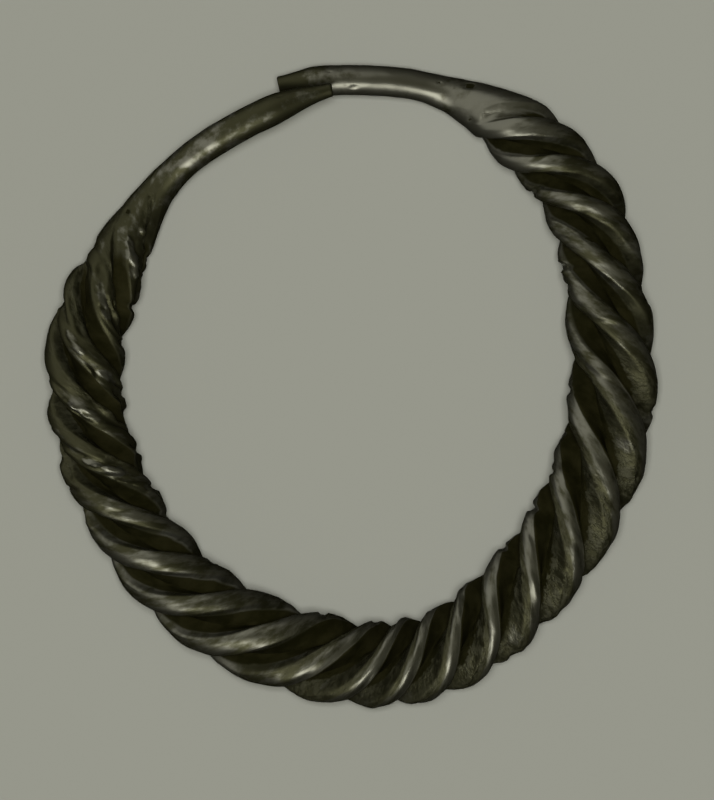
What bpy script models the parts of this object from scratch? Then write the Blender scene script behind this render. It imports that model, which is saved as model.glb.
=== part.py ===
# Hoop earring: a solid bar with four flanges, twisted to the left and bent round into a hoop.
# Its two plain ends taper and pass each other, one above the other, without touching.
# The hoop lies flat on its worn underside. Metres, +Z up, with the ends towards +Y.
#
# A place along the bar is a clock angle: degrees clockwise from +Y, seen from above. It starts
# at the cut face of the lower end, a little before 0, and stops at the tip of the upper end.

import math

import bmesh
import bpy
from mathutils import Vector

MM = 0.001

# Sizes. Those of a flange are where the bar is stoutest, and shrink in proportion elsewhere.
HOOP_RADIUS = 17.8 * MM  # mean radius of the bar's centre line
BAR_THICKNESS = 6.4 * MM  # across opposite flanges
GROOVE_DEPTH = 1.6 * MM  # from the crest of a flange to the bottom of a groove
CREST_ROUNDING = 1.24 * MM  # radius of the rounded crest of a flange
END_THICKNESS = 2.12 * MM  # the plain ends
CUT_FACE_THICKNESS = 1.2 * MM  # the lower end, at its cut face
TIP_THICKNESS = 0.9 * MM  # the upper end, at its blunt tip
PASS_GAP = 0.4 * MM  # clear height between the two ends where they pass
FLAT_DEPTH = 0.08 * MM  # wear on the crests of the underside, which makes small flats

FLANGES = 4
CREST_WRAP = 61.0  # degrees that the rounding turns to each side, down to the groove's straight wall

# Places along the bar, as clock angles
CUT_FACE = -13.5
TWIST_START = 16.0
TWIST_STOP = 322.0
TIP = 356.4

# Stretches along the bar where it changes, as the clock angles of no change and full change
CUT_FACE_TAPER = (CUT_FACE, CUT_FACE + 8.0)  # out from the cut face to the full plain end
SLOPE_DOWN = (35.0, 0.0)  # down from the lying bar to the lower end, which passes below
FLARE = (13.0, 38.0)  # out from the lower end to the twisted bar
TAPER = (323.0, 285.0)  # out from the upper end to the twisted bar
SLOPE_UP = (300.0, 345.0)  # up from the lying bar to the upper end, which passes above
TIP_TAPER = (358.0, 343.0)  # out from the tip to the full plain end

# Stretches where the grooves deepen and fade, on the hoop's inner side and on its outer side
GROOVES_START_INNER = (26.0, 30.0)
GROOVES_START_OUTER = (28.0, 38.0)
GROOVES_STOP_INNER = (294.0, 318.0)
GROOVES_STOP_OUTER = (282.0, 304.0)

# The hand-bent centre line, as clock angle and share of the hoop's radius
ROUTE = (
    (CUT_FACE, 1.148), (-1.0, 1.134), (14.0, 1.142), (30.0, 1.129), (50.0, 1.091), (70.0, 0.993),
    (90.0, 0.958), (115.0, 0.947), (140.0, 0.966), (152.0, 0.999), (167.0, 1.022), (190.0, 0.984),
    (215.0, 0.961), (240.0, 0.948), (262.0, 0.966), (280.0, 0.986), (300.0, 0.979),
    (320.0, 1.025), (340.0, 1.050), (TIP, 1.098),
)

# How stout the twisted bar is, as clock angle and share of its greatest thickness
STOUTNESS = (
    (40.0, 0.84), (60.0, 0.91), (85.0, 0.985), (120.0, 1.000), (165.0, 0.955), (200.0, 0.975),
    (245.0, 0.890), (288.0, 0.865),
)

# The uneven twist, as clock angle and the number of grooves that have passed the outer side
TWIST = (
    (TWIST_START, -0.9), (28.0, 0.0), (57.0, 3.0), (83.0, 5.0), (115.0, 7.0), (143.0, 9.0),
    (163.0, 11.0), (180.0, 13.0), (208.0, 15.0), (235.0, 17.0), (260.0, 19.0), (284.5, 21.0),
    (298.5, 22.0), (TWIST_STOP, 23.2),
)

# Fineness of the mesh
TWISTED_STATIONS = 146
END_STATIONS = 12
CREST_POINTS = 6  # round the crest of a flange
CLOCK_STEP = 0.1  # for the direction of the centre line
SNAP = 0.02 * MM  # points this near the underside's plane are put on it
WELD = 0.001 * MM  # points this near each other are joined
SHARP_ANGLE = 35.0  # edges that turn more than this stay sharp, such as a groove's

# Dark patinated bronze
BRONZE_COLOUR = (0.075, 0.066, 0.045, 1.0)
BRONZE_METALLIC = 1.0
BRONZE_ROUGHNESS = 0.38


def smooth_step(limits, value):
    # 0 at the first limit, 1 at the second, level at both
    share = (value - limits[0]) / (limits[1] - limits[0])
    share = min(max(share, 0.0), 1.0)
    return share * share * (3.0 - 2.0 * share)


def smooth_value(points, place):
    # a smooth curve through (place, value) points, level beyond them
    if place <= points[0][0]:
        return points[0][1]
    if place >= points[-1][0]:
        return points[-1][1]

    def slope(index):
        before = points[max(index - 1, 0)]
        after = points[min(index + 1, len(points) - 1)]
        return (after[1] - before[1]) / (after[0] - before[0])

    index = max(i for i, point in enumerate(points) if point[0] <= place)
    span = points[index + 1][0] - points[index][0]
    rise = points[index + 1][1] - points[index][1]
    share = (place - points[index][0]) / span
    leave = slope(index) * span - rise
    arrive = rise - slope(index + 1) * span
    bend = (1.0 - share) * leave + share * arrive
    return points[index][1] + share * rise + share * (1.0 - share) * bend


def crest_radius(clock):
    # half the bar's thickness, across its flanges
    cut_loss = (END_THICKNESS - CUT_FACE_THICKNESS) * (1.0 - smooth_step(CUT_FACE_TAPER, clock))
    tip_loss = (END_THICKNESS - TIP_THICKNESS) * (1.0 - smooth_step(TIP_TAPER, clock))
    plain = END_THICKNESS - cut_loss - tip_loss
    stout = BAR_THICKNESS * smooth_value(STOUTNESS, clock)
    swell = smooth_step(FLARE, clock) * smooth_step(TAPER, clock)
    return 0.5 * (plain + swell * (stout - plain))


def flange_points():
    # (turn, share) points round one flange and its groove: a rounded crest and straight groove walls;
    # a share is the distance from the bar's centre line, as a share of the crest's
    rounding = CREST_ROUNDING / (0.5 * BAR_THICKNESS)
    bottom = 1.0 - GROOVE_DEPTH / (0.5 * BAR_THICKNESS)
    points = []
    for i in range(CREST_POINTS):
        slope = math.radians(CREST_WRAP) * (2.0 * i / (CREST_POINTS - 1) - 1.0)
        along = 1.0 - rounding + rounding * math.cos(slope)
        across = rounding * math.sin(slope)
        points.append((math.atan2(across, along), math.hypot(along, across)))
    return points + [(math.pi / FLANGES, bottom)]


def groove_share(clock, side):
    # 1 where the grooves are full and 0 on the plain ends; side is 1 outside the hoop, -1 inside
    outer = 0.5 * (1.0 + side)
    start = smooth_step(GROOVES_START_INNER, clock)
    start += outer * (smooth_step(GROOVES_START_OUTER, clock) - start)
    stop = smooth_step(GROOVES_STOP_INNER, clock)
    stop += outer * (smooth_step(GROOVES_STOP_OUTER, clock) - stop)
    return start * (1.0 - stop)


def centre(clock):
    # the bar's centre: low enough for its crests to wear flat, with the ends one above the other
    lying = crest_radius(clock) - FLAT_DEPTH
    middle = 0.5 * BAR_THICKNESS - FLAT_DEPTH
    parting = 0.5 * (0.5 * END_THICKNESS + 0.5 * TIP_THICKNESS + PASS_GAP)
    down = smooth_step(SLOPE_DOWN, clock)
    up = smooth_step(SLOPE_UP, clock)
    height = lying + down * (middle - parting - lying) + up * (middle + parting - lying)
    radius = HOOP_RADIUS * smooth_value(ROUTE, clock)
    angle = math.radians(clock)
    return Vector((radius * math.sin(angle), radius * math.cos(angle), height))


def section(clock):
    # points round the bar: its flanges and grooves, turned by the twist
    along = (centre(clock + CLOCK_STEP) - centre(clock - CLOCK_STEP)).normalized()
    outward = Vector((0.0, 0.0, 1.0)).cross(along).normalized()
    upward = along.cross(outward)
    step = 2.0 * math.pi / FLANGES
    twist = step * (0.5 - smooth_value(TWIST, clock))
    points = []
    for flange in range(FLANGES):
        for turn, share in flange_points():
            angle = step * flange + turn + twist
            depth = (1.0 - share) * groove_share(clock, math.cos(angle))
            around = math.cos(angle) * outward + math.sin(angle) * upward
            points.append(centre(clock) + crest_radius(clock) * (1.0 - depth) * around)
    return points


def spaced(start, stop, count):
    # count places from start up to, but not at, stop
    return [start + (stop - start) * i / count for i in range(count)]


def make_bar():
    clocks = spaced(CUT_FACE, TWIST_START, END_STATIONS)
    clocks += spaced(TWIST_START, TWIST_STOP, TWISTED_STATIONS)
    clocks += spaced(TWIST_STOP, TIP, END_STATIONS) + [TIP]
    bm = bmesh.new()
    rings = [[bm.verts.new(point) for point in section(clock)] for clock in clocks]
    for ring, following in zip(rings, rings[1:]):
        for i in range(len(ring)):
            j = (i + 1) % len(ring)
            bm.faces.new((ring[i], ring[j], following[j], following[i]))
    bm.faces.new(reversed(rings[0]))
    bm.faces.new(rings[-1])
    return bm


def wear_underside(bm):
    # the crests that reach below z = 0 are worn away to flats in that plane
    for vert in bm.verts:
        if abs(vert.co.z) < SNAP:
            vert.co.z = 0.0
    everything = bm.verts[:] + bm.edges[:] + bm.faces[:]
    bmesh.ops.bisect_plane(
        bm, geom=everything, plane_co=(0.0, 0.0, 0.0), plane_no=(0.0, 0.0, 1.0), clear_inner=True
    )
    bmesh.ops.remove_doubles(bm, verts=bm.verts[:], dist=WELD)
    bmesh.ops.holes_fill(bm, edges=bm.edges[:], sides=0)
    bmesh.ops.recalc_face_normals(bm, faces=bm.faces[:])


def centre_on_origin(bm):
    # the origin is below the middle of the hoop's outline
    middle = Vector((0.0, 0.0, 0.0))
    for axis in (0, 1):
        values = [vert.co[axis] for vert in bm.verts]
        middle[axis] = 0.5 * (min(values) + max(values))
    bmesh.ops.translate(bm, verts=bm.verts[:], vec=-middle)


def bronze():
    material = bpy.data.materials.new("patinated_bronze")
    material.use_nodes = True
    shader = material.node_tree.nodes["Principled BSDF"]
    shader.inputs["Base Color"].default_value = BRONZE_COLOUR
    shader.inputs["Metallic"].default_value = BRONZE_METALLIC
    shader.inputs["Roughness"].default_value = BRONZE_ROUGHNESS
    return material


def make_hoop(collection):
    bm = make_bar()
    wear_underside(bm)
    centre_on_origin(bm)
    mesh = bpy.data.meshes.new("twisted_hoop")
    bm.to_mesh(mesh)
    bm.free()
    mesh.shade_smooth()
    mesh.set_sharp_from_angle(angle=math.radians(SHARP_ANGLE))
    mesh.materials.append(bronze())
    hoop = bpy.data.objects.new("twisted_hoop", mesh)
    collection.objects.link(hoop)


def main():
    for thing in list(bpy.data.objects):
        bpy.data.objects.remove(thing, do_unlink=True)
    collection = bpy.data.collections.new("hoop_earring")
    bpy.context.scene.collection.children.link(collection)
    make_hoop(collection)


main()
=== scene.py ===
# Hoop earring of dark patinated bronze: a bar with four flanges, twisted and bent round by hand.
# It lies flat, and the camera looks straight down on it.
import math
import random

import bmesh
import bpy
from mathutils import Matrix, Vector, noise


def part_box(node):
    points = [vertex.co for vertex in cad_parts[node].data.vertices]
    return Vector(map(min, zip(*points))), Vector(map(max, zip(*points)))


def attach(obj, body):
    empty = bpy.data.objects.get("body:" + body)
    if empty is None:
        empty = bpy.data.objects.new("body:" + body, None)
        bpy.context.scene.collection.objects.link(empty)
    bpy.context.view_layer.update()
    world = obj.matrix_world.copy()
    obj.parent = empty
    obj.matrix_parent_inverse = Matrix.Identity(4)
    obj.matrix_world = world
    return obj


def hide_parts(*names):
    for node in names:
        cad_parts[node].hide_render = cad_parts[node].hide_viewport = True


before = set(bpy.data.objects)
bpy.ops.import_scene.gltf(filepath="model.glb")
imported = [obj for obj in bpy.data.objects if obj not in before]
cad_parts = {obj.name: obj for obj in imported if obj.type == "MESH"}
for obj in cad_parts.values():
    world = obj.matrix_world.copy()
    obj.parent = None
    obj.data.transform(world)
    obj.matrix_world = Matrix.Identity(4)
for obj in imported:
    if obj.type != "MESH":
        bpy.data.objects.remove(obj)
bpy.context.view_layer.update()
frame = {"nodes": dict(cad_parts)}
print("frame loaded:", ", ".join(frame["nodes"]))


# The hoop: sizes in millimetres, places as clock angles (degrees clockwise from +Y, from above)
hoop = {
    "length": 42.225,  # along Y, from the bar's outer side to the ends; it sets the scale of the rest
    "radius": 17.8,  # mean radius of the bar's centre line
    "barThickness": 6.4,
    # the section of a flange, as shares of the radius at its crest
    "nose": 0.50,  # radius of its rounded crest
    "halfWidth": 0.335,  # from its middle to each edge of that rounding
    "grooveBottom": 0.50,  # from the bar's centre line to the bottom of a groove
    "endThickness": 2.12,
    "cutFaceThickness": 1.2,
    "tipThickness": 0.9,
    "passGap": 0.4,
    "flatDepth": 0.17,  # how far unworn crests would reach below the surface that the hoop lies on
    "rimRound": 0.12,  # rounding of the edges of the two end faces
    "flanges": 4,
    "cutFace": -13.5,
    "tip": 356.4,
    # stretches where the bar changes: clock angles of no change and of full change
    "cutFaceTaper": (-13.5, -5.5),
    "slopeDown": (35.0, 0.0),
    "flare": (13.0, 38.0),
    "taper": (323.0, 285.0),
    # the grooves start earlier and stop later on the hoop's inner side than on its outer side
    "groovesStartInner": (26.0, 30.0),
    "groovesStartOuter": (28.0, 38.0),
    "groovesStopInner": (294.0, 318.0),
    "groovesStopOuter": (282.0, 304.0),
    "slopeUp": (300.0, 345.0),
    "tipTaper": (358.0, 343.0),
    # the hand-bent centre line: clock angle, share of the radius
    "route": (
        (-13.5, 1.148), (-1.0, 1.134), (14.0, 1.142), (30.0, 1.129), (50.0, 1.091), (70.0, 0.993),
        (90.0, 0.958), (115.0, 0.947), (140.0, 0.966), (152.0, 0.999), (167.0, 1.022), (190.0, 0.984),
        (215.0, 0.961), (240.0, 0.948), (262.0, 0.966), (280.0, 0.986), (300.0, 0.979),
        (320.0, 1.025), (340.0, 1.050), (356.4, 1.098),
    ),
    # clock angle, share of the bar's thickness
    "stoutness": (
        (40.0, 0.84), (60.0, 0.91), (85.0, 0.985), (120.0, 1.000), (165.0, 0.955), (200.0, 0.975),
        (245.0, 0.890), (288.0, 0.865),
    ),
    # clock angle, grooves that have passed the outer side
    "twist": (
        (16.0, -0.9), (28.0, 0.0), (57.0, 3.0), (83.0, 5.0), (115.0, 7.0), (143.0, 9.0),
        (163.0, 11.0), (180.0, 13.0), (208.0, 15.0), (235.0, 17.0), (260.0, 19.0), (284.5, 21.0),
        (298.5, 22.0), (322.0, 23.2),
    ),
    # clock angle, degrees that the grooves' bottoms lean towards the hoop's inner side, seen from above
    "lean": (
        (30.0, 0.0), (70.0, 0.0), (88.0, 13.0), (160.0, 13.0), (186.0, 0.0), (200.0, -7.0),
        (250.0, -8.0), (262.0, -12.0), (300.0, -12.0), (322.0, 0.0),
    ),
    "leanReach": (18.0, 45.0),  # degrees from a flange's middle to where the lean sets in and is full
    # clock angle, how broad the flanges are: above 1 they are broader and the grooves narrower
    "broad": ((242.0, 1.0), (260.0, 1.5), (296.0, 1.5), (312.0, 1.0)),
    # hand work, as smooth noise over the skin: mm from hill to hill, and a shift that keeps kinds apart
    "noises": {
        "swell": (3.6, (5.0, 0.0, 0.0)),
        "hammer": (1.1, (0.0, 9.0, 0.0)),
        "streak": (0.8, (3.0, 3.0, 0.0)),  # lines along the flanges
        "bead": (1.0, (0.0, 0.0, 7.0)),
        "grain": (0.50, (0.0, 0.0, 0.0)),
        "patch": (2.4, (0.0, 0.0, 0.0)),  # patches where beads and grain show
        "wander": (2.6, (0.0, 0.0, 0.0)),
        "ragged": (0.35, (0.0, 0.0, 0.0)),  # the outlines of the marks
    },
    # how deep each kind goes
    "swellDepth": 0.16,
    "hammerDepth": 0.14,
    "streakDepth": 0.10,
    "beadDepth": 0.34,
    "grainDepth": 0.18,
    "streakLength": 6.0,  # times as long as they are apart
    "wander": 3.0,  # degrees that the flanges stray from a true twist
    # the noise at which beads and patches begin, and at which they are full
    "beadEdge": (-0.2, 0.4),
    "patchEdge": (-0.25, 0.25),
    # how strong the beads and the grain are: clock angle, share
    "beads": (
        (40.0, 0.1), (60.0, 0.5), (85.0, 0.3), (170.0, 0.3), (192.0, 0.1), (238.0, 0.1), (250.0, 1.0),
        (296.0, 1.0), (310.0, 0.2), (322.0, 0.0),
    ),
    "grain": (
        (14.0, 0.05), (40.0, 0.25), (76.0, 0.4), (92.0, 0.9), (186.0, 0.9), (198.0, 0.15),
        (242.0, 0.15), (256.0, 0.7), (300.0, 0.6), (322.0, 0.15),
    ),
    "grainReach": (3.0, 15.0),  # degrees inwards from a flange's middle, to no grain and full grain
    "grainOnOuterHalf": 0.08,  # shares of the full grain
    "grainBetweenPatches": 0.3,
    "crustBetweenPatches": 0.5,
    # how far the dark skin is rubbed off: clock angle, share
    "rubbed": (
        (-13.5, 0.1), (-6.0, 0.6), (2.0, 1.1), (14.0, 1.1), (19.0, 0.8), (24.0, 1.25), (32.0, 1.2),
        (40.0, 0.8), (70.0, 0.7), (100.0, 0.9), (180.0, 0.9), (200.0, 0.7), (240.0, 0.7),
        (252.0, 0.5), (290.0, 0.45), (306.0, 0.5), (318.0, 0.6), (326.0, 0.7), (334.0, 0.6),
        (356.4, 0.3),
    ),
    "dirtAndShadeReach": (17.0, 36.0),  # degrees from a flange's middle to the first dirt and painted shade, and to where they are full
    "dirtAndShadeShift": 9.0,  # degrees that the dirt and painted shade lie further inwards where the skin is grainy
    # dark hollows: clock angle, degrees round the bar from its outer side up over the top, radius, depth
    "hollows": (
        (15.7, 60.0, 0.10, 0.05), (21.5, 42.0, 0.50, 0.08), (24.4, 128.0, 0.25, 0.06),
        (58.5, 100.0, 0.30, 0.12), (249.0, 95.0, 0.28, 0.12), (252.0, 110.0, 0.24, 0.12),
        (289.0, 120.0, 0.28, 0.12), (309.0, 48.0, 0.30, 0.10), (317.5, 22.0, 0.22, 0.07),
    ),
    "hollowDirt": 0.8,
    # raised beads, worn bright: clock angle, degrees round the bar, radius, height
    "knobs": (
        (251.2, 103.0, 0.55, 0.16), (254.2, 79.0, 0.50, 0.18), (263.8, 98.0, 0.55, 0.14),
        (266.2, 80.0, 0.62, 0.18), (272.8, 125.0, 0.45, 0.14), (278.4, 82.0, 0.42, 0.15),
        (280.2, 70.0, 0.42, 0.15), (286.6, 113.0, 0.48, 0.16), (289.0, 97.0, 0.60, 0.18),
        (297.5, 129.0, 0.42, 0.15), (299.6, 114.0, 0.60, 0.18), (302.0, 98.0, 0.42, 0.14),
        (306.6, 112.0, 0.34, 0.12),
    ),
    "knobStretch": 1.2,  # length along the bar, as a share of the width
    "knobShine": 4.0,  # how much more they are rubbed, for each mm of height
    # nicks across the flanges, which show in the outline: clock angle, degrees round the bar, depth
    "nicks": (
        (43.4, 175.0, 0.20), (62.4, 178.0, 0.28), (66.5, 182.0, 0.16), (91.0, 180.0, 0.18),
        (102.5, 178.0, 0.20), (112.0, 178.0, 0.30), (122.9, 180.0, 0.34), (129.0, 4.0, 0.16),
        (135.3, 176.0, 0.26), (149.5, 0.0, 0.16), (169.4, 182.0, 0.20), (175.0, 178.0, 0.16),
        (188.2, 178.0, 0.24), (219.0, 180.0, 0.16), (236.2, 180.0, 0.28), (243.7, 176.0, 0.26),
        (261.5, 2.0, 0.14), (268.1, 180.0, 0.22), (281.0, 178.0, 0.20), (286.5, 4.0, 0.22),
        (290.5, 178.0, 0.26), (296.5, 180.0, 0.24), (302.0, 176.0, 0.18), (94.0, 2.0, 0.18),
    ),
    "nickReach": 1.5,  # round the bar, to each side
    "nickHalfWidth": 0.42,  # along the bar
    # small casting pits
    "pitCount": 70,
    "pitRadius": (0.08, 0.20),
    "pitDepth": (0.02, 0.05),
    "pitStretch": (1.0, 1.8),
    "pitDirt": 0.48,
    "raggedness": 0.7,  # of the outlines of all marks
    "seed": 11,
    # fineness of the mesh
    "stations": 932,  # along the bar
    "rimStations": 4,  # in the rounding of each rim
    # degrees from a flange's middle to each row of points, closer together at the edge of its crest
    "rows": (0.0, 4.0, 8.0, 12.0, 15.5, 18.5, 20.8, 22.6, 24.2, 26.5, 30.0, 35.0, 40.0),
    "clockStep": 0.1,  # for the direction of the centre line
    "weld": 1e-6,  # points this near each other are joined
    "sharpAngle": 60.0,  # degrees; edges that turn more stay sharp
}

# what the shape tells the finish at each point of the skin
skinMaps = ("groove", "grainy", "pitted", "rubbed")

hoopLow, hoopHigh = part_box("twisted_hoop")
mm = (hoopHigh.y - hoopLow.y) / hoop["length"]  # one of the hoop's millimetres, in metres


def smoothStep(limits, value):
    # 0 at the first limit, 1 at the second, level at both
    share = min(max((value - limits[0]) / (limits[1] - limits[0]), 0.0), 1.0)
    return share * share * (3.0 - 2.0 * share)


def upToOne(least, share):
    # the least value where the share is 0, and 1 where it is 1
    return least + (1.0 - least) * share


def smoothValue(points, place):
    # a smooth curve through (place, value) points, level beyond them
    if place <= points[0][0]:
        return points[0][1]
    if place >= points[-1][0]:
        return points[-1][1]

    def slope(index):
        before = points[max(index - 1, 0)]
        after = points[min(index + 1, len(points) - 1)]
        return (after[1] - before[1]) / (after[0] - before[0])

    index = max(i for i, point in enumerate(points) if point[0] <= place)
    span = points[index + 1][0] - points[index][0]
    rise = points[index + 1][1] - points[index][1]
    share = (place - points[index][0]) / span
    leave = slope(index) * span - rise
    arrive = rise - slope(index + 1) * span
    bend = (1.0 - share) * leave + share * arrive
    return points[index][1] + share * rise + share * (1.0 - share) * bend


def noiseAt(kind, place):
    # one kind of hand work at this place on the skin: hills above 0, dales below
    spacing, shift = hoop["noises"][kind]
    return noise.noise(place / spacing + Vector(shift))


def crestRadius(clock):
    # half the bar's thickness, across its flanges
    full = hoop["endThickness"]
    cutLoss = (full - hoop["cutFaceThickness"]) * (1.0 - smoothStep(hoop["cutFaceTaper"], clock))
    tipLoss = (full - hoop["tipThickness"]) * (1.0 - smoothStep(hoop["tipTaper"], clock))
    plain = full - cutLoss - tipLoss
    stout = hoop["barThickness"] * smoothValue(hoop["stoutness"], clock)
    swell = smoothStep(hoop["flare"], clock) * smoothStep(hoop["taper"], clock)
    return 0.5 * (plain + swell * (stout - plain))


def flangeShare(turn):
    # the skin's distance from the bar's centre, as a share of the crest's radius: a rounded crest on
    # each flange, and from its edges steep flanks down to the sharp bottom of the groove
    halfStep = math.pi / hoop["flanges"]
    aside = abs(math.remainder(turn, 2.0 * halfStep))
    middle = 1.0 - hoop["nose"]
    edge = Vector((middle + math.sqrt(hoop["nose"] ** 2 - hoop["halfWidth"] ** 2), hoop["halfWidth"]))
    if aside < math.atan2(edge.y, edge.x):
        return middle * math.cos(aside) + math.sqrt(hoop["nose"] ** 2 - (middle * math.sin(aside)) ** 2)
    bottom = hoop["grooveBottom"] * Vector((math.cos(halfStep), math.sin(halfStep)))
    run = bottom - edge
    return edge.cross(bottom) / (run.y * math.cos(aside) - run.x * math.sin(aside))


def grooveShare(clock, side):
    # 1 where the grooves are full, 0 on the plain ends; side is 1 on the hoop's outer side, -1 inside
    outer = 0.5 + 0.5 * side
    start, stop = [
        (1.0 - outer) * smoothStep(hoop[name + "Inner"], clock)
        + outer * smoothStep(hoop[name + "Outer"], clock) for name in ("groovesStart", "groovesStop")]
    return start * (1.0 - stop)


def barCentre(clock):
    # low enough for the crests to be worn flat, with the ends one above the other
    lying = crestRadius(clock) - hoop["flatDepth"]
    middle = 0.5 * hoop["barThickness"] - hoop["flatDepth"]
    parting = 0.5 * (0.5 * hoop["endThickness"] + 0.5 * hoop["tipThickness"] + hoop["passGap"])
    down = smoothStep(hoop["slopeDown"], clock)
    up = smoothStep(hoop["slopeUp"], clock)
    height = lying + down * (middle - parting - lying) + up * (middle + parting - lying)
    radius = hoop["radius"] * smoothValue(hoop["route"], clock)
    angle = math.radians(clock)
    return Vector((radius * math.sin(angle), radius * math.cos(angle), height))


def barStations():
    # clock angles along the bar, closer together where the rims of the end faces are rounded
    rim = math.degrees(hoop["rimRound"] / hoop["radius"])
    quarter = [0.5 * math.pi * i / hoop["rimStations"] for i in range(hoop["rimStations"])]
    start, stop = hoop["cutFace"] + rim, hoop["tip"] - rim
    step = (stop - start) / hoop["stations"]
    clocks = [start - rim * math.cos(angle) for angle in quarter]
    clocks += [start + step * i for i in range(hoop["stations"] + 1)]
    clocks += [stop + rim * math.cos(angle) for angle in reversed(quarter)]
    return clocks


def barRows():
    # turns about the bar's centre line, from the first crest
    step = 360.0 / hoop["flanges"]
    flange = list(hoop["rows"]) + [0.5 * step] + [step - row for row in reversed(hoop["rows"][1:])]
    return [math.radians(step * i + row) for i in range(hoop["flanges"]) for row in flange]


def measureStations():
    # for each station: where the bar's centre is, how it is turned, and how far along the bar it is
    stations = []
    along = 0.0
    for clock in barStations():
        centre = barCentre(clock)
        ahead, behind = barCentre(clock + hoop["clockStep"]), barCentre(clock - hoop["clockStep"])
        direction = (ahead - behind).normalized()
        outward = Vector((0.0, 0.0, 1.0)).cross(direction).normalized()
        if stations:
            along += (centre - stations[-1]["centre"]).length
        station = {
            "clock": clock,
            "centre": centre,
            "outward": outward,
            "upward": direction.cross(outward),
            "along": along,
            "crest": crestRadius(clock),
            "twist": 2.0 * math.pi / hoop["flanges"] * (0.5 - smoothValue(hoop["twist"], clock)),
            "lean": math.radians(smoothValue(hoop["lean"], clock)),
            "marks": [],
        }
        for name in ("broad", "beads", "grain", "rubbed"):
            station[name] = smoothValue(hoop[name], clock)
        stations.append(station)
    length = stations[-1]["along"]
    for station in stations:
        fromEnd = min(station["along"], length - station["along"])
        inset = max(hoop["rimRound"] - fromEnd, 0.0)
        station["rimLoss"] = hoop["rimRound"] - math.sqrt(max(hoop["rimRound"] ** 2 - inset ** 2, 0.0))
    return stations


def addMark(stations, mark):
    # each station keeps the marks within its reach
    for station in stations:
        if abs(station["along"] - mark["along"]) < mark["radius"] * mark["stretch"]:
            station["marks"].append(mark)


def scatterPits(stations):
    # small casting pits at random places
    dice = random.Random(hoop["seed"])
    length = stations[-1]["along"]
    for _ in range(hoop["pitCount"]):
        addMark(stations, {
            "along": dice.uniform(0.0, length),
            "turn": dice.uniform(0.0, 2.0 * math.pi),
            "radius": dice.uniform(*hoop["pitRadius"]),
            "depth": dice.uniform(*hoop["pitDepth"]),
            "stretch": dice.uniform(*hoop["pitStretch"]),
            "dirt": hoop["pitDirt"],
        })


def placeMark(stations, clock, side, radius, depth, stretch=1.0, dirt=0.0):
    # one mark at a clock angle and at so many degrees round the bar; its depth is below 0 if it is raised
    nearest = min(stations, key=lambda station: abs(station["clock"] - clock))
    addMark(stations, {
        "along": nearest["along"],
        "turn": math.radians(side) - nearest["twist"],
        "radius": radius,
        "depth": depth,
        "stretch": stretch,
        "dirt": dirt,
    })


def placeMarks(stations):
    # the hollows, raised beads and nicks that the photo shows
    for clock, side, radius, depth in hoop["hollows"]:
        placeMark(stations, clock, side, radius, depth, dirt=hoop["hollowDirt"])
    for clock, side, radius, height in hoop["knobs"]:
        placeMark(stations, clock, side, radius, -height, stretch=hoop["knobStretch"])
    narrow = hoop["nickHalfWidth"] / hoop["nickReach"]
    for clock, side, depth in hoop["nicks"]:
        placeMark(stations, clock, side, hoop["nickReach"], depth, stretch=narrow)


def marksAt(station, turn, radius, ragged):
    # how deep the marks are here, below 0 on a raised one, and how dirty
    depth, height, dirt = 0.0, 0.0, 0.0
    for mark in station["marks"]:
        lengthwise = (station["along"] - mark["along"]) / (mark["radius"] * mark["stretch"])
        aside = math.remainder(turn - mark["turn"], 2.0 * math.pi) * radius / mark["radius"]
        inside = 1.0 + hoop["raggedness"] * ragged - lengthwise * lengthwise - aside * aside
        share = smoothStep((0.0, 1.0), inside)
        depth = max(depth, mark["depth"] * share)
        height = max(height, -mark["depth"] * share)
        dirt = max(dirt, mark["dirt"] * share)
    return depth - height, dirt


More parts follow.
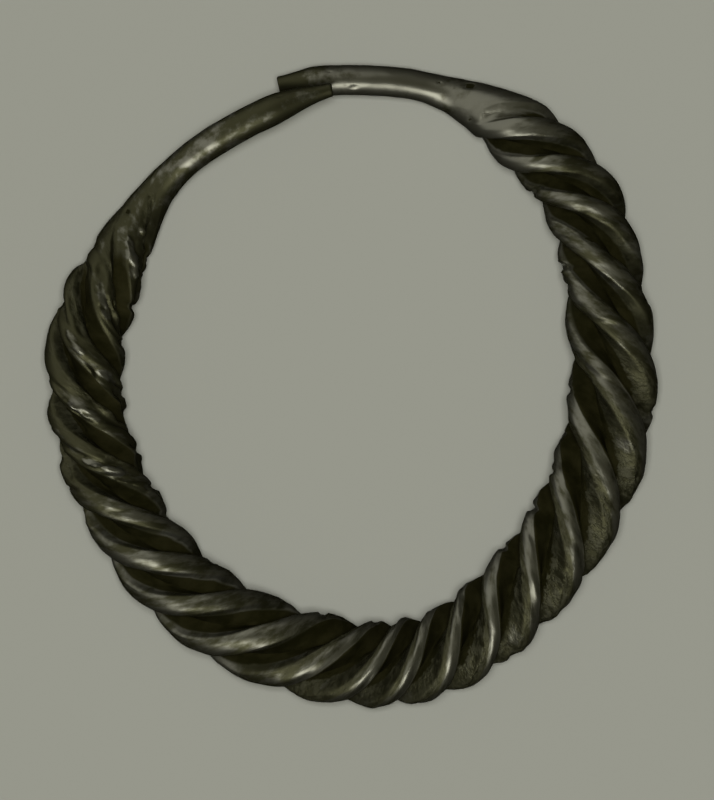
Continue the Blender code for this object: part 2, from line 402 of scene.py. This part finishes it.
def shapeVert(vert, station, turn, layers):
    # one point of the bar's skin, at this station and this turn about the bar's centre line
    crest = station["crest"]
    size = min(crest / (0.5 * hoop["barThickness"]), 1.0)
    # degrees from the flange's middle, towards the hoop's inner side as seen from above
    halfStep = 180.0 / hoop["flanges"]
    aside = math.remainder(math.degrees(turn), 2.0 * halfStep)
    aside = math.copysign(halfStep * (abs(aside) / halfStep) ** station["broad"], aside)
    skin = flangeShare(math.radians(aside))
    place = Vector((station["along"], crest * math.cos(turn), crest * math.sin(turn)))
    drawn = Vector((place.x / hoop["streakLength"], place.y, place.z))
    turn += station["lean"] * smoothStep(hoop["leanReach"], abs(aside))
    angle = turn + station["twist"]
    grooves = grooveShare(station["clock"], math.cos(angle))

    swell, hammer, grain = [0.5 + 0.5 * noiseAt(kind, place) for kind in ("swell", "hammer", "grain")]
    streak = 0.5 + 0.5 * noiseAt("streak", drawn)
    patch = smoothStep(hoop["patchEdge"], noiseAt("patch", place))
    bead = smoothStep(hoop["beadEdge"], noiseAt("bead", place))
    # the outer half of each flange is rubbed smooth, and the grain is left on its inner half
    grainy = station["grain"] * upToOne(hoop["grainOnOuterHalf"], smoothStep(hoop["grainReach"], aside))
    loss = hoop["swellDepth"] * swell + hoop["hammerDepth"] * hammer + hoop["streakDepth"] * streak
    loss += hoop["beadDepth"] * station["beads"] * patch * (1.0 - bead)
    loss += hoop["grainDepth"] * grainy * upToOne(hoop["grainBetweenPatches"], patch) * grain
    radius = crest * (1.0 + grooves * (skin - 1.0)) - size * loss
    depth, dirt = marksAt(station, turn, radius, noiseAt("ragged", place))
    radius -= depth + station["rimLoss"]
    angle += math.radians(hoop["wander"]) * noiseAt("wander", place)
    vert.co = station["centre"] + radius * (
        math.cos(angle) * station["outward"] + math.sin(angle) * station["upward"])

    vert[layers["barPlace"]] = place
    # the painted shade and dirt reach higher up on the outer half of the grainy flanges, and less high on
    # their inner half
    shift = station["grain"] * math.copysign(hoop["dirtAndShadeShift"], aside)
    vert[layers["groove"]] = grooves * smoothStep([reach + shift for reach in hoop["dirtAndShadeReach"]], abs(aside))
    vert[layers["grainy"]] = grainy * upToOne(hoop["crustBetweenPatches"], patch)
    vert[layers["pitted"]] = dirt
    vert[layers["rubbed"]] = station["rubbed"] + hoop["knobShine"] * max(-depth, 0.0)


def placeInFrame(bm):
    # the hoop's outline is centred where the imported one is
    for axis in (0, 1):
        values = [vert.co[axis] for vert in bm.verts]
        shift = Vector((0.0, 0.0, 0.0))
        shift[axis] = 0.5 * (hoopLow[axis] + hoopHigh[axis]) - 0.5 * (min(values) + max(values))
        bmesh.ops.translate(bm, verts=bm.verts, vec=shift)


def makeHoop():
    stations = measureStations()
    scatterPits(stations)
    placeMarks(stations)
    turns = barRows()
    spans, around = len(stations) - 1, len(turns)
    bm = bmesh.new()
    # a flat sheet, one column for each station, rolled up into the bar and joined along its seam
    bmesh.ops.create_grid(bm, x_segments=spans, y_segments=around, size=0.5)
    layers = {"barPlace": bm.verts.layers.float_vector.new("barPlace")}
    for name in skinMaps:
        layers[name] = bm.verts.layers.float.new(name)
    for vert in bm.verts:
        station = stations[round((vert.co.x + 0.5) * spans)]
        row = round((vert.co.y + 0.5) * around) % around
        shapeVert(vert, station, turns[row], layers)
    bmesh.ops.remove_doubles(bm, verts=bm.verts, dist=hoop["weld"])
    # the crests that the hoop lies on are worn flat
    bmesh.ops.bisect_plane(
        bm, geom=bm.verts[:] + bm.edges[:] + bm.faces[:], plane_co=(0, 0, 0), plane_no=(0, 0, 1),
        clear_inner=True)
    bmesh.ops.holes_fill(bm, edges=bm.edges, sides=0)
    bmesh.ops.recalc_face_normals(bm, faces=bm.faces)
    bmesh.ops.scale(bm, verts=bm.verts, vec=(mm, mm, mm))
    placeInFrame(bm)
    mesh = bpy.data.meshes.new("hoop_bar")
    bm.to_mesh(mesh)
    bm.free()
    mesh.shade_smooth()
    mesh.set_sharp_from_angle(angle=math.radians(hoop["sharpAngle"]))
    bar = bpy.data.objects.new("hoop_bar", mesh)
    bpy.context.scene.collection.objects.link(bar)
    print("hoop made:", len(mesh.vertices), "points,", len(mesh.polygons), "faces")
    return bar


finish = {
    "wornMetal": "#848375",  # rubbed crests: bare metal
    "patina": "#4C4B36",  # the olive-brown skin where the crests are less rubbed
    "crust": "#525140",  # pale, matt corrosion grains
    "deepPatinaAndShade": "#1D1C0B",  # almost black: patina in the grooves and pits, and painted shade in the grooves
    "dust": "#2B2916",  # paler dirt that lies in some of the grooves
    "edgeTint": "#5A5942",  # keeps the skin dark where it is seen edge-on
    "skinMetallic": 0.9,
    "crustMetallic": 0.25,
    "dirtMetallic": 0.2,
    "wornRoughness": 0.35,
    "patinaRoughness": 0.5,
    "crustRoughness": 0.5,
    "dirtRoughness": 0.65,
    # patterns: mm from spot to spot, finer layers in them, and how strong those are
    "mottle": (1.1, 5.0, 0.6),  # patches of lighter and darker patina
    "specks": (0.45, 3.0, 0.7),  # corrosion specks
    "scratches": (0.16, 2.0, 0.5),  # fine lines along the flanges, coarse enough to show
    "scratchLength": 12.5,  # times as long as they are apart
    # the values at which a layer begins and at which it is full
    "crustEdge": (0.38, 0.66),
    "dirtAndShadeEdge": (0.62, 0.86),
    "wornEdge": (0.72, 1.00),
    "dustEdge": (0.38, 0.62),
    # what moves those borders, and how much
    "dirtAndShadeFromMottle": 0.5,
    "dirtBetweenGrains": 0.3,
    "wornFromRubbing": 0.5,
    "wornFromGrain": -0.5,
    # strength, and height in mm
    "scratchBump": (0.25, 0.02),
    "speckBump": (0.7, 0.06),
}


def linear(hexColour):
    # an sRGB hex colour as the linear colour that the shaders take
    values = [int(hexColour[i:i + 2], 16) / 255.0 for i in (1, 3, 5)]
    return [v / 12.92 if v <= 0.04045 else ((v + 0.055) / 1.055) ** 2.4 for v in values] + [1.0]


def addNode(tree, kind, settings=None, links=None):
    # one node, with its settings and what feeds its inputs; a Mix node has its share at input 0,
    # two values at 2 and 3 or two colours at 6 and 7, and its result at output 0 or 2
    node = tree.nodes.new(kind)
    for name, value in (settings or {}).items():
        if isinstance(name, str) and hasattr(node, name):
            setattr(node, name, value)
        else:
            node.inputs[name].default_value = value
    for name, source in (links or {}).items():
        tree.links.new(source, node.inputs[name])
    return node


def patinatedBronze():
    # cast and hammered tin bronze under a thin, dark, olive-brown patina: dull in the grooves, where shade
    # is
    #  also painted in, darker in the pits, and rubbed back to a soft sheen along the crests
    material = bpy.data.materials.new("patinated_bronze_skin")
    material.use_nodes = True
    tree = material.node_tree
    shader = tree.nodes["Principled BSDF"]
    shader.inputs["Specular Tint"].default_value = linear(finish["edgeTint"])

    place = addNode(tree, "ShaderNodeAttribute", {"attribute_name": "barPlace"}).outputs["Vector"]
    groove, grainy, pitted, rubbed = [
        addNode(tree, "ShaderNodeAttribute", {"attribute_name": name}).outputs["Fac"] for name in skinMaps]
    drawn = addNode(tree, "ShaderNodeVectorMath", {
        "operation": "MULTIPLY", 1: (1.0 / finish["scratchLength"], 1.0, 1.0)}, {0: place}).outputs[0]
    patterns = {}
    for name, source in (("mottle", place), ("specks", place), ("scratches", drawn)):
        spacing, layerCount, layerStrength = finish[name]
        patterns[name] = addNode(tree, "ShaderNodeTexNoise", {
            "Scale": 1.0 / spacing, "Detail": layerCount, "Roughness": layerStrength},
            {"Vector": source}).outputs["Fac"]

    # dirt, and painted shade in the grooves: 1 in grooves and pits, with a ragged border
    hollow = addNode(tree, "ShaderNodeMath", {"operation": "MAXIMUM"}, {0: groove, 1: pitted})
    ragged = addNode(tree, "ShaderNodeMath", {"operation": "MULTIPLY_ADD", 1: finish["dirtAndShadeFromMottle"]},
                     {0: patterns["mottle"], 2: hollow.outputs[0]})
    # crust: the raised corrosion grains; between: the dirt that lies between them
    raised = addNode(tree, "ShaderNodeMapRange", {
        "interpolation_type": "SMOOTHSTEP", "From Min": finish["crustEdge"][0],
        "From Max": finish["crustEdge"][1]}, {"Value": patterns["specks"]})
    crustShare = addNode(tree, "ShaderNodeMath", {"operation": "MULTIPLY"},
                         {0: raised.outputs[0], 1: grainy}).outputs[0]
    between = addNode(tree, "ShaderNodeMath", {"operation": "SUBTRACT"}, {0: grainy, 1: crustShare})
    dirtAndShadeLevel = addNode(tree, "ShaderNodeMath", {
        "operation": "MULTIPLY_ADD", 1: finish["dirtBetweenGrains"]},
        {0: between.outputs[0], 2: ragged.outputs[0]})
    dirtAndShadeShare = addNode(tree, "ShaderNodeMapRange", {
        "interpolation_type": "SMOOTHSTEP", "From Min": finish["dirtAndShadeEdge"][0],
        "From Max": finish["dirtAndShadeEdge"][1]}, {"Value": dirtAndShadeLevel.outputs[0]}).outputs[0]
    # worn: 1 where the crests are rubbed bright
    mottled = addNode(tree, "ShaderNodeMath", {
        "operation": "MULTIPLY_ADD", 1: finish["wornFromRubbing"]}, {0: rubbed, 2: patterns["mottle"]})
    rubbing = addNode(tree, "ShaderNodeMath", {
        "operation": "MULTIPLY_ADD", 1: finish["wornFromGrain"]}, {0: grainy, 2: mottled.outputs[0]})
    wornShare = addNode(tree, "ShaderNodeMapRange", {
        "interpolation_type": "SMOOTHSTEP", "From Min": finish["wornEdge"][0],
        "From Max": finish["wornEdge"][1]}, {"Value": rubbing.outputs[0]}).outputs[0]

    # colour: skin, then crust, then dirt and painted shade over it
    skin = addNode(tree, "ShaderNodeMix", {
        "data_type": "RGBA", 6: linear(finish["patina"]), 7: linear(finish["wornMetal"])}, {0: wornShare})
    crusted = addNode(tree, "ShaderNodeMix", {"data_type": "RGBA", 7: linear(finish["crust"])},
                      {0: crustShare, 6: skin.outputs[2]})
    dusty = addNode(tree, "ShaderNodeMapRange", {
        "From Min": finish["dustEdge"][0], "From Max": finish["dustEdge"][1]},
        {"Value": patterns["mottle"]})
    # the dark colour of the dirt, which in the grooves is also painted shade
    dirt = addNode(tree, "ShaderNodeMix", {
        "data_type": "RGBA", 6: linear(finish["deepPatinaAndShade"]), 7: linear(finish["dust"])},
        {0: dusty.outputs[0]})
    colour = addNode(tree, "ShaderNodeMix", {"data_type": "RGBA"},
                     {0: dirtAndShadeShare, 6: crusted.outputs[2], 7: dirt.outputs[2]})
    tree.links.new(colour.outputs[2], shader.inputs["Base Color"])

    bare = addNode(tree, "ShaderNodeMapRange", {
        "To Min": finish["skinMetallic"], "To Max": finish["crustMetallic"]}, {"Value": crustShare})
    metallic = addNode(tree, "ShaderNodeMix", {"data_type": "FLOAT", 3: finish["dirtMetallic"]},
                       {0: dirtAndShadeShare, 2: bare.outputs[0]})
    tree.links.new(metallic.outputs[0], shader.inputs["Metallic"])
    smoother = addNode(tree, "ShaderNodeMapRange", {
        "To Min": finish["patinaRoughness"], "To Max": finish["wornRoughness"]}, {"Value": wornShare})
    rougher = addNode(tree, "ShaderNodeMix", {"data_type": "FLOAT", 3: finish["crustRoughness"]},
                      {0: crustShare, 2: smoother.outputs[0]})
    roughness = addNode(tree, "ShaderNodeMix", {"data_type": "FLOAT", 3: finish["dirtRoughness"]},
                        {0: dirtAndShadeShare, 2: rougher.outputs[0]})
    tree.links.new(roughness.outputs[0], shader.inputs["Roughness"])

    scratchBump = addNode(tree, "ShaderNodeBump", {
        "Strength": finish["scratchBump"][0], "Distance": finish["scratchBump"][1] * mm},
        {"Height": patterns["scratches"]})
    speckBump = addNode(tree, "ShaderNodeBump", {
        "Strength": finish["speckBump"][0], "Distance": finish["speckBump"][1] * mm},
        {"Height": crustShare, "Normal": scratchBump.outputs[0]})
    tree.links.new(speckBump.outputs[0], shader.inputs["Normal"])
    return material


bar = makeHoop()
bar.data.materials.append(patinatedBronze())
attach(bar, "root")
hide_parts("twisted_hoop")
print("hoop finished")


# Floor, light and camera: lengths in metres where no other unit is given
studio = {
    "floorSize": 3.0,
    "floor": "#B5B6AB",
    # soft lamps over the hoop: mirrored says whether the metal shows them, and matt whether they
    # light matt surfaces, such as the floor
    "lamps": {
        "floor_light": {
            "place": (0.0, 0.0, 1.2), "size": (0.3, 0.3), "watts": 8.9, "mirrored": False, "matt": True},
        # from the foot of the picture, a little to its left, 42 degrees from straight above
        "key_light": {
            "place": (-0.0871, -0.2531, 0.2973), "size": (0.30, 0.22), "watts": 0.76,
            "mirrored": True, "matt": False},
        # from the picture's upper left, low down
        "fill_light": {
            "place": (-0.3334, 0.2771, 0.2500), "size": (1.0, 0.8), "watts": 1.4,
            "mirrored": True, "matt": False},
    },
    # what the metal mirrors of the room: paler above, dark towards the table
    "above": "#46452D",
    "below": "#1C1B0E",
    "paleFrom": 0.95,  # where it is palest: the upward share of the direction
    "viewCentre": (0.392, -0.881, 3.1),  # mm, what the middle of the picture looks at
    "viewHeight": 52.2,  # mm, what the picture takes in along its long side
    "viewDistance": 0.60,
    "nearest": 0.01,  # what the camera can see
    "sensor": 36.0,  # mm
}


def paleCard():
    # matt grey card: an even tone, with no gloss
    material = bpy.data.materials.new("matt_grey_card")
    material.use_nodes = True
    shader = material.node_tree.nodes["Principled BSDF"]
    shader.inputs["Base Color"].default_value = linear(studio["floor"])
    shader.inputs["Roughness"].default_value = 1.0
    shader.inputs["Specular IOR Level"].default_value = 0.0
    return material


def makeFloor():
    bm = bmesh.new()
    bmesh.ops.create_grid(bm, x_segments=1, y_segments=1, size=0.5 * studio["floorSize"])
    mesh = bpy.data.meshes.new("floor")
    bm.to_mesh(mesh)
    bm.free()
    floor = bpy.data.objects.new("floor", mesh)
    bpy.context.scene.collection.objects.link(floor)
    floor.data.materials.append(paleCard())
    floor.visible_glossy = False


def addLamp(name, settings):
    # a soft rectangular lamp, turned to the hoop
    data = bpy.data.lights.new(name, "AREA")
    data.shape = "RECTANGLE"
    data.size, data.size_y = settings["size"]
    data.energy = settings["watts"]
    lamp = bpy.data.objects.new(name, data)
    bpy.context.scene.collection.objects.link(lamp)
    lamp.location = settings["place"]
    lamp.rotation_euler = Vector(settings["place"]).to_track_quat("Z", "Y").to_euler()
    lamp.visible_glossy = settings["mirrored"]
    lamp.visible_diffuse = settings["matt"]


def addSurroundings():
    world = bpy.data.worlds.new("dim_studio")
    world.use_nodes = True
    tree = world.node_tree
    direction = addNode(tree, "ShaderNodeTexCoord").outputs["Generated"]
    parts = addNode(tree, "ShaderNodeSeparateXYZ", links={0: direction})
    height = addNode(tree, "ShaderNodeMapRange", {"From Min": 0.0, "From Max": studio["paleFrom"]},
                     {"Value": parts.outputs["Z"]})
    colour = addNode(tree, "ShaderNodeMix", {
        "data_type": "RGBA", 6: linear(studio["below"]), 7: linear(studio["above"])},
        {0: height.outputs[0]})
    tree.links.new(colour.outputs[2], tree.nodes["Background"].inputs["Color"])
    bpy.context.scene.world = world


def addCamera():
    centre = Vector(studio["viewCentre"]) * mm
    data = bpy.data.cameras.new("camera")
    data.sensor_width = studio["sensor"]
    data.lens = studio["sensor"] * studio["viewDistance"] / (studio["viewHeight"] * mm)
    data.clip_start = studio["nearest"]
    camera = bpy.data.objects.new("camera", data)
    camera.location = centre + Vector((0.0, 0.0, studio["viewDistance"]))
    bpy.context.scene.collection.objects.link(camera)
    bpy.context.scene.camera = camera


makeFloor()
for lampName, lampSettings in studio["lamps"].items():
    addLamp(lampName, lampSettings)
addSurroundings()
addCamera()
bpy.context.scene.view_settings.view_transform = "Standard"
print("floor, light and camera set")
